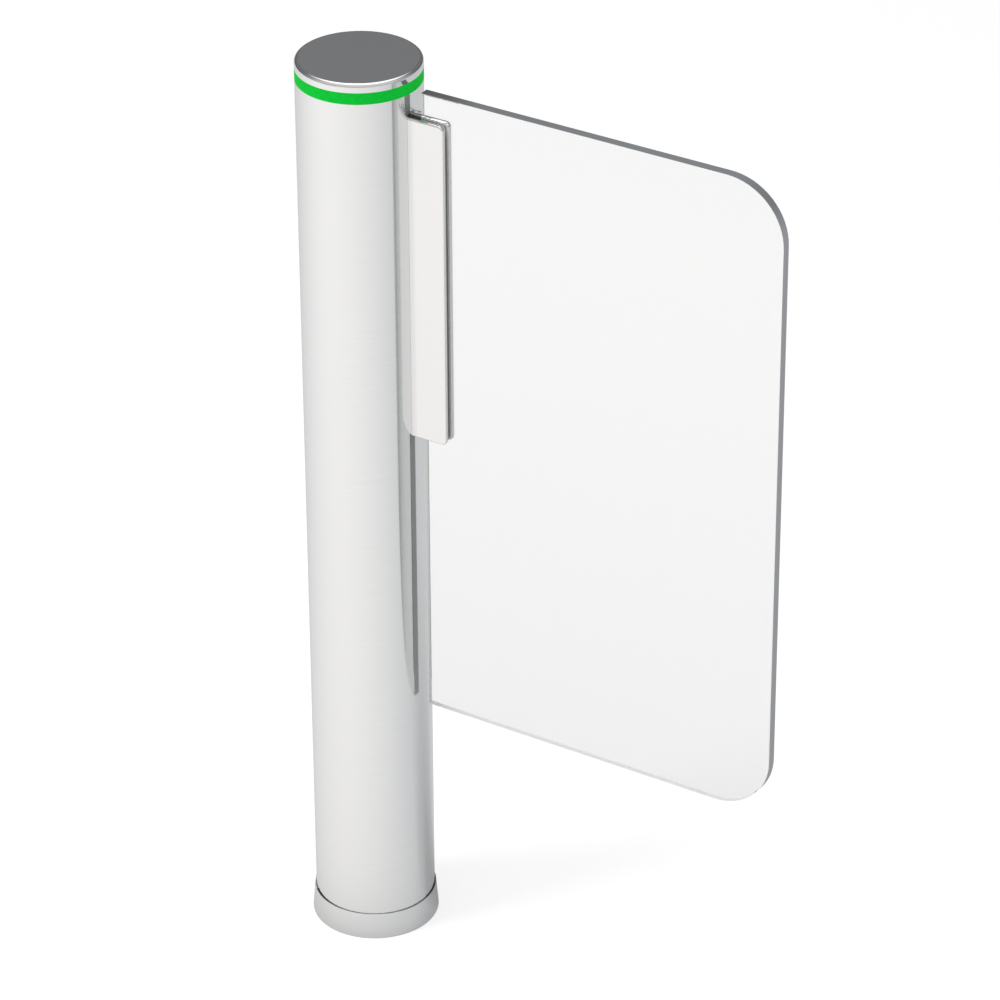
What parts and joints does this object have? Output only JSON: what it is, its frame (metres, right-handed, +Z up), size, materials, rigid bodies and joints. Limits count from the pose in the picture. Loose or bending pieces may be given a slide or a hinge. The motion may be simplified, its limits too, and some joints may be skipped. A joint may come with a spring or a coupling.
{
  "type": "swing barrier gate",
  "caption": "Pedestrian swing gate: a round stainless post that turns on its own axis and carries a glass wing in a tall clamp, with a green light ring under the cap.",
  "frame": {"origin": "on the floor, on the axis of the post, in the plane of the floor flange's underside", "axes": "+Z up along the post, +X along the closed wing from the post to its free edge, +Y through the glass towards the clamp's back plate"},
  "size_m": [0.5706, 0.1412, 1.05],
  "materials": {
    "post_steel": "bright, finely brushed around the post",
    "collar_steel": "bright brushed",
    "cap_steel": "polished rounded rim",
    "cap_grey": "satin grey",
    "clamp_steel": "satin",
    "light_ring": "lit green diffuser",
    "clear_glass": "clear, with ground and polished edges",
    "black_rubber": "matte",
    "black_bar": "matte black",
    "flange_steel": "zinc plated, dull",
    "turned_steel": "turned",
    "drive_paint": "semi-matte",
    "gear_case": "cast"
  },
  "bodies": {
    "base": {"base_flange": "flange_steel", "base_collar": "collar_steel", "spindle": "flange_steel", "lower_bearing": "turned_steel", "upper_bearing": "turned_steel", "drive_plate": "flange_steel", "drive_motor": "drive_paint", "gearbox": "gear_case"},
    "wing": {"post_tube": "post_steel", "lower_hub": "turned_steel", "upper_hub": "turned_steel", "output_shaft": "turned_steel", "drive_hub": "turned_steel", "head_sleeve": "turned_steel", "light_ring": "light_ring", "cap": "cap_steel", "cap_disc": "cap_grey", "clamp_spine": "black_bar", "clamp_plate_front": "clamp_steel", "clamp_plate_back": "clamp_steel", "gasket_front": "black_rubber", "gasket_back": "black_rubber", "glass_wing": "clear_glass"}
  },
  "joints": [
    {"name": "wing_swing", "type": "hinge", "parent": "base", "child": "wing", "pos_m": [0, 0, 0], "axis": [0, 0, 1], "range_deg": [-90, 90]}
  ]
}
